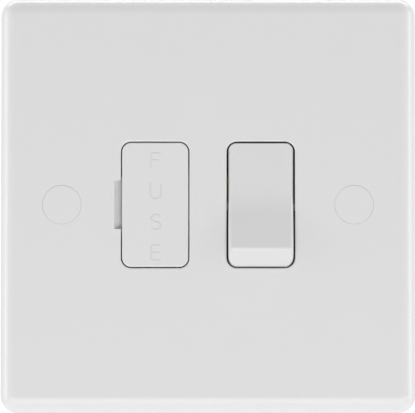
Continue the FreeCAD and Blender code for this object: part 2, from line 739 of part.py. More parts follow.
def make_earth_strap():
    """Strip between the earth terminals, with an ear round one fixing screw and two bent feet."""
    strap = new_body("earth_strap")
    left = "-earth_strap_offset - earth_strap_width / 2"
    right = "-earth_strap_offset + earth_strap_width / 2"
    end = f"({TERMINAL_MID})"
    add(strap, "strip", "Y", BOSS_BACK, EAR_BACK, box(left, right, f"-{end}", end))
    add(strap, "ear", "Y", BOSS_BACK, EAR_BACK, circle(f"-{SCREW}", "0", "ear_radius"))
    add(strap, "neck", "Y", BOSS_BACK, EAR_BACK, box(f"-{SCREW}", right, "-ear_radius", "ear_radius"))
    cut(strap, "screw_hole", "Y", BOSS_BACK, EAR_BACK, circle(f"-{SCREW}", "0", "clearance_hole_radius"))
    add(strap, "feet", "Y", EAR_BACK, TERMINAL_FRONT,
        box(left, right, f"-{end}", f"-{end} + strap_thickness"),
        box(left, right, f"{end} - strap_thickness", end))
    return strap


def make_supply_strap(pole, across):
    """Strip from a supply terminal up to the fin and round ridge that a see-saw contact rocks on."""
    strap = new_body(f"supply_{pole}_strap")
    terminal = TERMINALS[f"supply_{pole}_terminal"][0]
    start = f"(-{TERMINAL_IN})"
    bend = f"({start} + strap_width)"
    left = f"{across} - strap_width / 2"
    right = f"{across} + strap_width / 2"
    top = "fin_thickness"
    add(strap, "strip", "Y", STRAP_FRONT, STRAP_BACK,
        polygon((f"{terminal} - strap_width / 2", start), (f"{terminal} + strap_width / 2", start),
                (f"{terminal} + strap_width / 2", bend), (right, f"{bend} + strap_width"), (right, top),
                (left, top), (left, f"{bend} + strap_width"), (f"{terminal} - strap_width / 2", bend)))
    add(strap, "fin", "Y", FULCRUM, STRAP_FRONT,
        centred_box(across, "0", "strap_width", "fin_thickness"))
    add(strap, "ridge", "X", left, right, circle(FULCRUM, "0", "ridge_radius"))
    return strap


def make_moving_contact(pole, across):
    """See-saw arm in its level pose, grooved to sit on its ridge; the body is placed tipped."""
    arm = new_body(f"{pole}_moving_contact")
    add(arm, "bar", "X", "-arm_width / 2", "arm_width / 2",
        box("-arm_thickness", "0", "-arm_reach", "arm_reach"))
    cut(arm, "groove", "X", "-arm_width / 2", "arm_width / 2",
        circle("0", "0", "ridge_radius + ridge_clearance"))
    turn = (FreeCAD.Vector(1, 0, 0), "contact_tilt")
    place(arm, across, FULCRUM, turn)
    tip = new_body(f"{pole}_moving_tip")
    add(tip, "disc", "Y", "0", "tip_thickness", circle("0", "tip_reach", "tip_radius"))
    place(tip, across, FULCRUM, turn)
    return arm


def place(body, across, depth, turn):
    """Set a body's origin at a point on the level of the wall's centre, turned about an axis."""
    axis, angle = turn
    body.Placement = FreeCAD.Placement(FreeCAD.Vector(0, 0, 0), FreeCAD.Rotation(axis, value(angle)))
    bind(body, "Placement.Base.x", across)
    bind(body, "Placement.Base.y", depth)
    bind(body, "Placement.Rotation.Angle", angle)


def make_fixed_tip(pole, across):
    """Fixed contact rivet: a round shank with a domed nose towards the moving tip."""
    name = f"{pole}_fixed_tip"
    nose = doc.addObject("Part::Sphere", f"{name}_nose")
    bind(nose, "Radius", "tip_radius")
    shank = doc.addObject("Part::Cylinder", f"{name}_shank")
    bind(shank, "Radius", "tip_radius")
    bind(shank, "Height", "rivet_shank")
    lie_back = FreeCAD.Rotation(FreeCAD.Vector(1, 0, 0), -90)
    shank.Placement = FreeCAD.Placement(FreeCAD.Vector(0, 0, 0), lie_back)
    for item in (nose, shank):
        bind(item, "Placement.Base.x", across)
        bind(item, "Placement.Base.y", RIVET)
        bind(item, "Placement.Base.z", RIVET_UP)
    half = doc.addObject("Part::Box", f"{name}_back")
    for side in ("Length", "Width", "Height"):
        bind(half, side, "2 * tip_radius")
    bind(half, "Placement.Base.x", f"{across} - tip_radius")
    bind(half, "Placement.Base.y", RIVET)
    bind(half, "Placement.Base.z", f"{RIVET_UP} - tip_radius")
    dome = doc.addObject("Part::Cut", f"{name}_dome")
    dome.Base = nose
    dome.Tool = half
    tip = doc.addObject("Part::Fuse", name)
    tip.Base = dome
    tip.Tool = shank
    tip.Label = name
    return tip


def make_live_fixed_strap():
    """Strip from the live fixed tip, across and down the corridor, to the lower fuse clip."""
    strap = new_body("live_fixed_strap")
    half = "strap_width / 2"
    right = f"{POLES['live']} + {half}"
    top = f"{RIVET_UP} + {half}"
    bottom = f"-clip_offset - {half}"
    left = f"{CARRIER} - {half}"
    add(strap, "strip", "Y", STRAP_FRONT, STRAP_BACK,
        polygon((left, bottom), (half, bottom), (half, f"{RIVET_UP} - {half}"),
                (right, f"{RIVET_UP} - {half}"), (right, top), (f"-{half}", top),
                (f"-{half}", f"-clip_offset + {half}"), (left, f"-clip_offset + {half}")))
    return strap


def make_neutral_fixed_strap():
    """Strip from the neutral fixed tip up to the load terminal."""
    strap = new_body("neutral_fixed_strap")
    half = "strap_width / 2"
    across = POLES["neutral"]
    low = f"{RIVET_UP} - {half}"
    bend = f"({TERMINAL_IN} - strap_width)"
    add(strap, "strip", "Y", STRAP_FRONT, STRAP_BACK,
        polygon((f"{across} - {half}", low), (f"{across} + {half}", low),
                (f"{across} + {half}", f"{bend} - {half}"),
                (f"neutral_offset + {half}", bend), (f"neutral_offset + {half}", TERMINAL_IN),
                (f"neutral_offset - {half}", TERMINAL_IN), (f"neutral_offset - {half}", bend),
                (f"{across} - {half}", f"{bend} - {half}")))
    return strap


def make_load_live_strap():
    """Strip from behind the upper fuse clip up to the live load terminal."""
    strap = new_body("load_live_strap")
    half = "strap_width / 2"
    low = f"clip_offset - {half}"
    bend = f"({TERMINAL_IN} - {half})"
    add(strap, "strip", "Y", STRAP_FRONT, STRAP_BACK,
        polygon((f"{CARRIER} - {half}", low), (f"{CARRIER} + {half}", low), (f"{CARRIER} + {half}", bend),
                (f"-load_live_offset + {half}", TERMINAL_IN), (f"-load_live_offset - {half}", TERMINAL_IN),
                (f"{CARRIER} - {half}", bend)))
    return strap


def make_fuse_clip(name, up):
    """Spring clip bent to a U round one end of the fuse, its mouth flared to lead the fuse in."""
    clip = new_body(name)
    inner = "(fuse_radius + clip_clearance)"
    outer = f"({inner} + clip_thickness)"
    mouth = f"({FUSE} - clip_reach)"
    lip = f"({mouth} - clip_flare)"
    base = f"({STRAP_FRONT} - clip_thickness)"
    corners = [(f"{CARRIER} - {outer}", STRAP_FRONT), (f"{CARRIER} + {outer}", STRAP_FRONT)]
    corners += [(f"{CARRIER} + {outer}", mouth), (f"{CARRIER} + {outer} + clip_flare", lip)]
    corners += [(f"{CARRIER} + {inner} + clip_flare", lip), (f"{CARRIER} + {inner}", mouth)]
    corners += [(f"{CARRIER} + {inner}", base), (f"{CARRIER} - {inner}", base)]
    corners += [(f"{CARRIER} - {inner}", mouth), (f"{CARRIER} - {inner} - clip_flare", lip)]
    corners += [(f"{CARRIER} - {outer} - clip_flare", lip), (f"{CARRIER} - {outer}", mouth)]
    add(clip, "bend", "Z", f"{up} - clip_width / 2", f"{up} + clip_width / 2", polygon(*corners))
    return clip


def make_screw_cap(name, across):
    """Push-in cap: a thin disc flush with the plate, with a ring spigot that grips the head bore."""
    cap = new_body(name)
    disc_back = f"{FACE} + cap_thickness"
    add(cap, "disc", "Y", FACE, disc_back, circle(across, "0", "cap_diameter / 2"))
    add(cap, "spigot", "Y", disc_back, f"{disc_back} + spigot_length",
        circle(across, "0", "spigot_radius"), circle(across, "0", "spigot_radius - spigot_wall"))
    round_edges(cap, "edge", "cap_round", lambda edge: at_level(edge.YMin, edge.YMax, FACE))
    return cap


def make_rocker():
    """Rocker about its own pivot in mid swing: dished front, hollow back, stem, hub and trunnions."""
    rocker = new_body("rocker")
    half_swing = "(rocker_swing / 2)"
    half_height = "(opening_height / 2 - rocker_end_gap)"
    half_width = "(opening_width / 2 - rocker_gap)"
    slope = f"tan({half_swing})"
    dish = f"(-pivot_depth / cos({half_swing}))"
    end_front = f"-pivot_depth * cos({half_swing}) - {half_height} * sin({half_swing})"
    end_up = f"{half_height} * cos({half_swing}) - pivot_depth * sin({half_swing})"
    reach = f"sqrt(pivot_depth ^ 2 + {half_height} ^ 2)"
    crest_reach = f"({half_height} - crest_set)"
    end_rear = f"sqrt({reach} ^ 2 - rocker_skirt ^ 2)"
    bevel_front = f"-sqrt({reach} ^ 2 - ({crest_reach} + bevel_run) ^ 2)"
    crest_front = f"{dish} - {crest_reach} * {slope}"
    add(rocker, "form", "X", f"-{half_width}", half_width,
        polygon((dish, "0"), (end_front, end_up),
                ("-rocker_skirt", end_rear), ("-rocker_skirt", f"-{end_rear}"),
                (bevel_front, f"-{crest_reach} - bevel_run"), (crest_front, f"-{crest_reach}")))
    round_edges(rocker, "dish", "rocker_blend",
                lambda edge: at_level(edge.YMin, edge.YMax, dish) and at_level(edge.ZMin, edge.ZMax, "0"))
    round_edges(rocker, "crest", "crest_round",
                lambda edge: at_level(edge.YMin, edge.YMax, crest_front))
    side_level = value(half_width)
    rear_limit = value(f"({bevel_front} - rocker_skirt) / 2")
    round_edges(rocker, "side_edges", "rocker_edge",
                lambda edge: near(abs(edge.XMin + edge.XMax) / 2, side_level)
                and near(edge.XMin, edge.XMax) and edge.YMax < rear_limit)
    corner = "(opening_corner - rocker_gap)"
    groove(rocker, "round_corners", "0",
           *[corner_waste(side, f"{side} * {half_width}", reach, corner, "rocker_gap") for side in (1, -1)])
    inner = f"({half_width} - rocker_cheek)"
    cut(rocker, "hollow", "X", f"-{inner}", inner,
        polygon((f"{dish} + rocker_hollow", "0"),
                (f"{end_front} + hollow_inset", f"{end_up} - hollow_inset"),
                ("-rocker_skirt / 2", f"{end_rear} - rocker_hollow"),
                ("-rocker_skirt / 2", f"-{end_rear} + rocker_hollow"),
                (f"{bevel_front} - bevel_inset", f"-{crest_reach} - bevel_run + hollow_inset"),
                (f"{crest_front} + hollow_inset", f"-{crest_reach} + crest_inset")))
    add(rocker, "hub", "X", f"-{half_width}", half_width, circle("0", "0", "hub_radius"))
    add(rocker, "stem", "X", "-stem_width / 2", "stem_width / 2",
        box(f"{dish} + rocker_hollow / 2", "stem_length", "-stem_thickness / 2", "stem_thickness / 2"))
    pin_end = "(opening_width / 2 + trunnion_length)"
    add(rocker, "trunnions", "X", f"-{pin_end}", pin_end, circle("0", "0", "trunnion_radius"))
    cut(rocker, "plunger_bores", "Y", "plunger_reach - plunger_length - spring_length", "stem_length",
        circle("-pole_offset", "0", "plunger_radius + bore_clearance"),
        circle("pole_offset", "0", "plunger_radius + bore_clearance"))
    place(rocker, ROCKER, PIVOT, (FreeCAD.Vector(-1, 0, 0), half_swing))
    return rocker


def make_plunger(pole, across):
    """Plunger with a rounded nose, in line with the rocker's stem."""
    plunger = new_body(f"{pole}_plunger")
    add(plunger, "pin", "Y", "plunger_reach - plunger_length", "plunger_reach",
        circle("0", "0", "plunger_radius"))
    round_edges(plunger, "nose", "plunger_tip_radius",
                lambda edge: at_level(edge.YMin, edge.YMax, "plunger_reach"))
    place(plunger, across, PIVOT, (FreeCAD.Vector(-1, 0, 0), "rocker_swing / 2"))
    return plunger


def make_spring(pole, across):
    """Coil spring behind a plunger, wound as a round wire along a helix."""
    spring = new_body(f"{pole}_spring")
    sketch = new_sketch(spring, "wire", "Z", "0")
    start = "plunger_reach - plunger_length - spring_length + spring_wire / 2"
    circle("spring_radius", start, "spring_wire / 2")(sketch)
    coil = spring.newObject("PartDesign::AdditiveHelix", f"{spring.Name}_coil")
    coil.Profile = sketch
    coil.ReferenceAxis = (sketch, ["V_Axis"])
    coil.Mode = "pitch-height-angle"
    bind(coil, "Pitch", "spring_pitch")
    bind(coil, "Height", "spring_length - spring_wire")
    place(spring, across, PIVOT, (FreeCAD.Vector(-1, 0, 0), "rocker_swing / 2"))
    return spring


def make_carrier():
    """Fuse carrier: flush front, side walls, hooked legs and a cradle that snaps on the fuse."""
    carrier = new_body("fuse_carrier")
    front_back = f"{FACE} + carrier_thickness"
    add(carrier, "front", "Y", FACE, front_back,
        rounded_box(CARRIER, "0", "opening_width - 2 * carrier_gap", "opening_height - 2 * carrier_gap",
                    "opening_corner - carrier_gap"))
    round_edges(carrier, "front_edge", "carrier_round", lambda edge: at_level(edge.YMin, edge.YMax, FACE))
    inner = "carrier_wall_offset"
    outer = "(carrier_wall_offset + carrier_wall)"
    add(carrier, "walls", "Y", front_back, f"{front_back} + carrier_wall_depth",
        *both_sides(CARRIER, inner, outer, "carrier_wall_height"))
    add(carrier, "legs", "Y", front_back, "leg_reach",
        *both_sides(CARRIER, inner, outer, "leg_height"))
    add(carrier, "hooks", "Y", "leg_reach - hook_thickness", "leg_reach",
        *both_sides(CARRIER, inner, f"({outer} + lug_hook)", "leg_height"))
    add(carrier, "cradle", "Y", front_back, f"{FUSE} + cradle_grip",
        centred_box(CARRIER, "0", f"2 * {outer}", "cradle_height"))
    ends = ("-cradle_height / 2", "cradle_height / 2")
    barrel = "(fuse_radius - fuse_cap_wall)"
    cut(carrier, "fuse_seat", "Z", *ends, circle(CARRIER, FUSE, f"{barrel} + cradle_clearance"))
    core_back = f"{FUSE} - {barrel} - carrier_wall"
    cut(carrier, "core", "Z", *ends,
        box(f"{CARRIER} - {inner} + carrier_wall", f"{CARRIER} + {inner} - carrier_wall",
            f"{front_back} + carrier_wall", core_back))
    return carrier


def make_fuse_barrel():
    """Ceramic tube of the cartridge fuse."""
    barrel = new_body("fuse_barrel")
    half = "(fuse_length / 2 - fuse_cap_wall)"
    outside = "(fuse_radius - fuse_cap_wall - cap_fit)"
    add(barrel, "tube", "Z", f"-{half}", half,
        circle(CARRIER, FUSE, outside), circle(CARRIER, FUSE, f"{outside} - barrel_wall"))
    return barrel


def make_fuse_element():
    """Wire along the axis of the fuse."""
    element = new_body("fuse_element")
    half = "(fuse_length / 2 - fuse_cap_wall)"
    add(element, "wire", "Z", f"-{half}", half, circle(CARRIER, FUSE, "element_radius"))
    return element


def make_fuse_end(name, side):
    """Pressed metal cap on one end of the fuse."""
    cap = new_body(name)
    outer_end = f"{side} * fuse_length / 2"
    inner_end = f"{side} * (fuse_length / 2 - fuse_cap_wall)"
    mouth = f"{side} * (fuse_length / 2 - fuse_cap_length)"
    low, high = (inner_end, outer_end) if side > 0 else (outer_end, inner_end)
    add(cap, "end", "Z", low, high, circle(CARRIER, FUSE, "fuse_radius"))
    low, high = (mouth, inner_end) if side > 0 else (inner_end, mouth)
    add(cap, "wall", "Z", low, high,
        circle(CARRIER, FUSE, "fuse_radius"), circle(CARRIER, FUSE, "fuse_radius - fuse_cap_wall"))
    return cap


make_faceplate()
make_rear_housing()
make_fixing_screws()
make_housing_screws()
for terminal, (offset, row_side) in TERMINALS.items():
    make_terminal(terminal, offset, row_side)
make_terminal_screws()
make_earth_strap()
for pole_name, pole_place in POLES.items():
    make_supply_strap(pole_name, pole_place)
    make_moving_contact(pole_name, pole_place)
    make_fixed_tip(pole_name, pole_place)
    make_plunger(pole_name, pole_place)
    make_spring(pole_name, pole_place)
make_live_fixed_strap()
make_neutral_fixed_strap()
make_load_live_strap()
make_fuse_clip("lower_fuse_clip", "-clip_offset")
make_fuse_clip("upper_fuse_clip", "clip_offset")
make_screw_cap("left_screw_cap", f"-{SCREW}")
make_screw_cap("right_screw_cap", SCREW)
make_rocker()
make_carrier()
make_fuse_barrel()
make_fuse_element()
make_fuse_end("fuse_upper_end", 1)
make_fuse_end("fuse_lower_end", -1)
doc.recompute()

for item in doc.Objects:
    if "Invalid" in item.State or "Error" in item.State:
        raise RuntimeError(f"{item.Name} failed")

tips = [doc.getObject(f"{pole_name}_fixed_tip") for pole_name in POLES]
pieces = [item for item in doc.Objects if item.TypeId == "PartDesign::Body"] + tips
for piece in pieces:
    if piece.Shape.isNull() or not piece.Shape.isValid():
        raise RuntimeError(f"{piece.Label} has no sound shape")
for piece in pieces:
    piece.Shape.exportStep(f"parts/{piece.Label}.step")
    corners = piece.Shape.BoundBox
    print(f"{piece.Label}: {len(piece.Shape.Solids)} solid(s), {piece.Shape.Volume:.1f} mm3, "
          f"Y {corners.YMin:.2f} to {corners.YMax:.2f}")
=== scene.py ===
import math

import bmesh
import bpy
import numpy as np
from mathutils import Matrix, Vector


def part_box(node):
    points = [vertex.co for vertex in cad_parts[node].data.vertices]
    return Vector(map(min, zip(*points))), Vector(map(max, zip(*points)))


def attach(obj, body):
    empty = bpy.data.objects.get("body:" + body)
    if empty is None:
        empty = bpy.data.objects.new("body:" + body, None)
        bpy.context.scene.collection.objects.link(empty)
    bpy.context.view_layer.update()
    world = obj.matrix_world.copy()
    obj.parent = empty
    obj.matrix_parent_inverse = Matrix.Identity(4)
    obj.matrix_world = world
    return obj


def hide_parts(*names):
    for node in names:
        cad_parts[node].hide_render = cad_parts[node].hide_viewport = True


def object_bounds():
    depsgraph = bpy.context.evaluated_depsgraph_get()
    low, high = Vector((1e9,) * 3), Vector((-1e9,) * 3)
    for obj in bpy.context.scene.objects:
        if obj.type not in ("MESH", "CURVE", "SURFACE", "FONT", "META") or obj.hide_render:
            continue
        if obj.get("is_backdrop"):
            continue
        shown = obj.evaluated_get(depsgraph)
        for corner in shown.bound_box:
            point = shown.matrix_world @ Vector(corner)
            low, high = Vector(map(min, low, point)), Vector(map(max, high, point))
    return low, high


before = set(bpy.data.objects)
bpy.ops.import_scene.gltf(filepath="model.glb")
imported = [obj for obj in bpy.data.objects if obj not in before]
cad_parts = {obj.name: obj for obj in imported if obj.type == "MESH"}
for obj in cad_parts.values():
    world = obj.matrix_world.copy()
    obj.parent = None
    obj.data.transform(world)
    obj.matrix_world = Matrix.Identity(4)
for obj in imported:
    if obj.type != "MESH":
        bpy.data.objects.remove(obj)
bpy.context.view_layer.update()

# Faceplate
# One pressing of gloss white thermoset, 86 mm square with a rolled edge. The front comes polished
# from the mould, and the ribs, bosses and pillars behind it are left as moulded.
PLATE_WHITE = (0.735, 0.735, 0.737, 1.0)
PLATE_SHADE = (0.728, 0.728, 0.728, 1.0)
UREA_IOR = 1.55
CLOUD_SCALE = 60.0
SHEEN_SCALE = 420.0


def node(tree, kind, inputs=None, **settings):
    """New shader node whose inputs are set to plain values or joined to other nodes' outputs."""
    made = tree.nodes.new("ShaderNode" + kind)
    for name, setting in settings.items():
        setattr(made, name, setting)
    for name, source in (inputs or {}).items():
        if isinstance(source, bpy.types.NodeSocket):
            tree.links.new(source, made.inputs[name])
        else:
            made.inputs[name].default_value = source
    return made


def skin_group(name, inputs):
    """Empty node group with named inputs, and the outputs Colour, Roughness and Height."""
    group = bpy.data.node_groups.new(name, "ShaderNodeTree")
    for label, kind, start in inputs:
        socket = group.interface.new_socket(label, in_out="INPUT", socket_type="NodeSocket" + kind)
        socket.default_value = start
    for label, kind in (("Colour", "Color"), ("Roughness", "Float"), ("Height", "Float")):
        group.interface.new_socket(label, in_out="OUTPUT", socket_type="NodeSocket" + kind)
    return group, group.nodes.new("NodeGroupInput").outputs


def close_group(group, colour, roughness, height):
    """Joins the three results of a group to its outputs."""
    out = group.nodes.new("NodeGroupOutput")
    for label, source in (("Colour", colour), ("Roughness", roughness), ("Height", height)):
        group.links.new(source, out.inputs[label])
    return group


def moulded_skin():
    """Moulded plastic or fired clay: clouded colour, drifting gloss and a grain height.

    Colour is mixed from Colour to Shade by a broad noise. Roughness is Gloss plus Drift times a
    finer noise. Height is a third noise at the grain size, given in grains per metre.
    """
    group, given = skin_group("moulded_skin", [
        ("Colour", "Color", PLATE_WHITE), ("Shade", "Color", PLATE_WHITE),
        ("Gloss", "Float", 0.25), ("Drift", "Float", 0.05), ("Grain", "Float", 3000.0)])
    place = node(group, "TexCoord").outputs["Object"]
    cloud = node(group, "TexNoise", {"Vector": place, "Scale": CLOUD_SCALE, "Detail": 2.0})
    colour = node(group, "Mix", {"Factor": cloud.outputs["Fac"], "A": given["Colour"],
                                 "B": given["Shade"]}, data_type="RGBA")
    sheen = node(group, "TexNoise", {"Vector": place, "Scale": SHEEN_SCALE, "Detail": 4.0})
    gloss = node(group, "Math", {0: sheen.outputs["Fac"], 1: given["Drift"], 2: given["Gloss"]},
                 operation="MULTIPLY_ADD")
    grain = node(group, "TexNoise", {"Vector": place, "Scale": given["Grain"], "Detail": 3.0})
    return close_group(group, colour.outputs["Result"], gloss.outputs["Value"], grain.outputs["Fac"])


def finish(name, group, values, relief, **shader):
    """Material: the shader with plain values on its own sockets, fed by a group's three outputs.

    relief is the grain's depth in metres. shader gives the sockets that are the same all over.
    """
    material = bpy.data.materials.new(name)
    material.use_nodes = True
    tree = material.node_tree
    tree.nodes.clear()
    surface = node(tree, "BsdfPrincipled", shader)
    skin = tree.nodes.new("ShaderNodeGroup")
    skin.node_tree = group
    for label, value in values.items():
        skin.inputs[label].default_value = value
    bump = node(tree, "Bump", {"Height": skin.outputs["Height"], "Distance": relief, "Strength": 1.0})
    tree.links.new(skin.outputs["Colour"], surface.inputs["Base Color"])
    tree.links.new(skin.outputs["Roughness"], surface.inputs["Roughness"])
    tree.links.new(bump.outputs["Normal"], surface.inputs["Normal"])
    node(tree, "OutputMaterial", {"Surface": surface.outputs["BSDF"]})
    return material


def dress(material, *names):
    """Gives CAD nodes a finish."""
    for name in names:
        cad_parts[name].data.materials[0] = material


moulded = moulded_skin()
plate_finish = finish("plate_gloss", moulded,
                      {"Colour": PLATE_WHITE, "Shade": PLATE_SHADE, "Gloss": 0.2, "Drift": 0.05,
                       "Grain": 900.0}, relief=0.0000004, IOR=UREA_IOR)
dress(plate_finish, "faceplate")

# Rear housing
# A satin polyamide tray that holds the terminals and the switch. Its spark-eroded mould leaves a
# fine even grain, and it is a little greyer than the plate.
housing_finish = finish("housing_satin", moulded,
                        {"Colour": (0.66, 0.66, 0.65, 1.0), "Shade": (0.6, 0.6, 0.59, 1.0),
                         "Gloss": 0.44, "Drift": 0.14, "Grain": 2600.0}, relief=0.000014, IOR=1.5)
dress(housing_finish, "rear_housing")

# Wire terminals
# Six blocks sawn from drawn brass bar, drilled for the conductor and tapped for its screw. The saw
# and the drawing die leave fine lines that run across the block.
BRASS = (0.72, 0.52, 0.23, 1.0)
BRASS_TARNISH = (0.56, 0.37, 0.15, 1.0)
STAIN_SCALE = 240.0
STAIN_FROM, STAIN_TO = 0.42, 0.72


def worked_metal():
    """Drawn, rolled or turned metal: tarnish in clouds, and fine lines that the tool left.

    Lines is how closely the marks lie along X, Y and Z, in marks per metre, so a low number is the
    way that they run. Colour is mixed to Tarnish by a sharpened broad noise, Roughness is Gloss
    plus Drift times the marks, and Height is the marks.
    """
    group, given = skin_group("worked_metal", [
        ("Colour", "Color", BRASS), ("Tarnish", "Color", BRASS_TARNISH),
        ("Gloss", "Float", 0.25), ("Drift", "Float", 0.1), ("Lines", "Vector", (500.0, 500.0, 500.0))])
    place = node(group, "TexCoord").outputs["Object"]
    cloud = node(group, "TexNoise", {"Vector": place, "Scale": STAIN_SCALE, "Detail": 4.0})
    stain = node(group, "MapRange", {"Value": cloud.outputs["Fac"], "From Min": STAIN_FROM,
                                     "From Max": STAIN_TO})
    colour = node(group, "Mix", {"Factor": stain.outputs["Result"], "A": given["Colour"],
                                 "B": given["Tarnish"]}, data_type="RGBA")
    run = node(group, "VectorMath", {0: place, 1: given["Lines"]}, operation="MULTIPLY")
    marks = node(group, "TexNoise", {"Vector": run.outputs["Vector"], "Scale": 1.0, "Detail": 2.0})
    gloss = node(group, "Math", {0: marks.outputs["Fac"], 1: given["Drift"], 2: given["Gloss"]},
                 operation="MULTIPLY_ADD")
    return close_group(group, colour.outputs["Result"], gloss.outputs["Value"], marks.outputs["Fac"])


worked = worked_metal()
TERMINALS = [f"{side}_{pole}_terminal" for side in ("supply", "load")
             for pole in ("live", "neutral", "earth")]
terminal_finish = finish("terminal_brass", worked,
                         {"Colour": BRASS, "Tarnish": BRASS_TARNISH, "Gloss": 0.22, "Drift": 0.16,
                          "Lines": (400.0, 9000.0, 400.0)}, relief=0.000008, Metallic=1.0)
dress(terminal_finish, *TERMINALS)

# Terminal screws
# M4 slotted brass grub screws, one to a terminal, which clamp the conductor. Each has a plain
# slotted end that stays below the well in the housing's back. A screw's BARE pair is the length
# without thread before and after it.
SCREW_SIDES = 9
THREAD_STEPS = 8
FLANK_STEEPNESS = 1.25
CREST_FLAT = 0.1
MERGE_DISTANCE = 0.00000001


def merged(parts):
    """One mesh from several (points, faces) pairs."""
    starts = np.cumsum([0] + [len(points) for points, _ in parts])
    return (np.vstack([points for points, _ in parts]),
            np.vstack([faces + start for (_, faces), start in zip(parts, starts)]))


def grid_faces(rows, columns, wrap):
    """Four-sided faces of a grid of points, joined across its columns' ends where wrap is true."""
    index = np.arange(rows * columns).reshape(rows, columns)
    if wrap:
        index = np.hstack([index, index[:, :1]])
    near_row, far_row = index[:-1], index[1:]
    corners = [near_row[:, :-1], near_row[:, 1:], far_row[:, 1:], far_row[:, :-1]]
    return np.stack(corners, axis=2).reshape(-1, 4)


def slotted_screw(head, slot, stages, thread, tip):
    """Grid surface of a screw along the direction s, from its slotted end at s = 0.

    head is the slotted end's radius, height and edge round, and slot is the slot's width and depth.
    The end is rows of constant z, with x = u * sqrt(radius^2 - z^2), whose s follows the edge
    round, and the two rows at the slot's sides are doubled so that they drop to its floor. The rest
    is rings with the same angles: each stage is (s, radius), then comes the thread, given as crest
    and root radius, pitch, and the s where it starts and stops. Its radius is the crest less a
    ridge, a triangle wave of s / pitch less the turn, and stays inside a cone that ends at the
    tip, given as its s, radius and slope. Returns points as columns x, s, z, and four-sided faces.
    """
    radius, height, edge = head
    width, depth = slot
    crest, root, pitch, start, stop = thread
    length, tip_radius, tip_slope = tip

    half = width / 2
    outer = radius * np.sin(np.linspace(math.asin(half / radius), math.pi / 2, SCREW_SIDES))
    up = np.concatenate([-outer[::-1], [-half, half], outer])
    deep = np.zeros(len(up), bool)
    deep[SCREW_SIDES:SCREW_SIDES + 2] = True
    u = np.sin(np.linspace(-math.pi / 2, math.pi / 2, 2 * SCREW_SIDES + 1))
    reach = np.sqrt(np.maximum(radius ** 2 - up ** 2, 0.0))
    across = u[None, :] * reach[:, None]
    past = np.clip(np.hypot(across, up[:, None]) - (radius - edge), 0.0, edge)
    fall = np.where(deep[:, None], depth, edge - np.sqrt(edge ** 2 - past ** 2))
    end = np.stack([across, fall, np.broadcast_to(up[:, None], across.shape)], axis=2)

    turn = np.concatenate([np.arctan2(up, reach), np.pi - np.arctan2(up, reach)[::-1]])
    along = np.arange(start, stop, pitch / THREAD_STEPS)
    phase = np.mod(along[:, None] / pitch - turn[None, :] / (2 * math.pi), 1.0)
    ridge = np.clip(FLANK_STEEPNESS * np.abs(2 * phase - 1) - CREST_FLAT, 0.0, 1.0)
    grow = np.clip((along - start) / pitch, 0.0, 1.0)[:, None]
    cone = tip_radius + (stop - along)[:, None] * tip_slope
    spiral = np.minimum(root + (crest - root) * (1 - ridge) * grow, cone)

    plain = [(0.0, radius), (height, radius)] + stages
    rings = np.vstack([np.full_like(turn, size) for _, size in plain]
                      + [spiral, np.full_like(turn, tip_radius), np.zeros_like(turn)])
    levels = np.concatenate([[level for level, _ in plain], along, [length, length]])
    depths = np.repeat(levels[:, None], len(turn), axis=1)
    depths[0] = np.concatenate([fall[:, -1], fall[::-1, 0]])
    shaft = np.stack([rings * np.cos(turn), depths, rings * np.sin(turn)], axis=2)
    return merged([(end.reshape(-1, 3), grid_faces(*end.shape[:2], wrap=False)),
                   (shaft.reshape(-1, 3), grid_faces(*shaft.shape[:2], wrap=True))])


def repeat(points, faces, shifts, swap=1.0):
    """Copies of a mesh at each shift, the across and depth directions first multiplied by swap."""
    turned = points * (swap, swap, 1.0)
    return merged([(turned + shift, faces) for shift in shifts])


def solid(name, points, faces, material, body, slot, crease=40.0):
    """Closed piece from points and faces: doubles merged, normals outward, smooth up to a crease."""
    mesh = bpy.data.meshes.new(name)
    mesh.from_pydata(points, [], faces.tolist())
    work = bmesh.new()
    work.from_mesh(mesh)
    bmesh.ops.remove_doubles(work, verts=work.verts, dist=MERGE_DISTANCE)
    bmesh.ops.recalc_face_normals(work, faces=work.faces)
    work.to_mesh(mesh)
    work.free()
    mesh.polygons.foreach_set("use_smooth", np.ones(len(mesh.polygons), bool))
    mesh.set_sharp_from_angle(angle=math.radians(crease))
    mesh.materials.append(material)
    piece = bpy.data.objects.new(name, mesh)
    bpy.context.scene.collection.objects.link(piece)
    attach(piece, body)
    return piece


def middle(name):
    """Centre of a CAD node's box."""
    low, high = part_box(name)
    return (np.array(low) + np.array(high)) / 2


GRUB_CREST_RADIUS = 0.00195
GRUB_ROOT_RADIUS = 0.00165
GRUB_PITCH = 0.0007
GRUB_END_HEIGHT = 0.0013
GRUB_END_EDGE = 0.0002
GRUB_SLOT = (0.0009, 0.0011)
GRUB_TIP_RADIUS = 0.0013
GRUB_TIP_SLOPE = 1.0
GRUB_BARE = (0.00005, 0.0001)
low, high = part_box("terminal_screws")
length = high[1] - low[1]
grub_finish = finish("screw_brass", worked,
                     {"Colour": (0.75, 0.57, 0.29, 1.0), "Tarnish": (0.6, 0.42, 0.2, 1.0), "Gloss": 0.2,
                      "Drift": 0.14, "Lines": (300.0, 12000.0, 300.0)}, relief=0.000004, Metallic=1.0)
points, faces = slotted_screw(
    head=(GRUB_ROOT_RADIUS, GRUB_END_HEIGHT, GRUB_END_EDGE), slot=GRUB_SLOT, stages=[],
    thread=(GRUB_CREST_RADIUS, GRUB_ROOT_RADIUS, GRUB_PITCH, GRUB_END_HEIGHT + GRUB_BARE[0],
            length - GRUB_BARE[1]),
    tip=(length, GRUB_TIP_RADIUS, GRUB_TIP_SLOPE))
places = [(middle(name)[0], high[1], middle(name)[2]) for name in TERMINALS]
grubs = solid("clamp_screws", *repeat(points, faces, places, swap=-1.0), grub_finish, "base", "screw_brass")
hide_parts("terminal_screws")

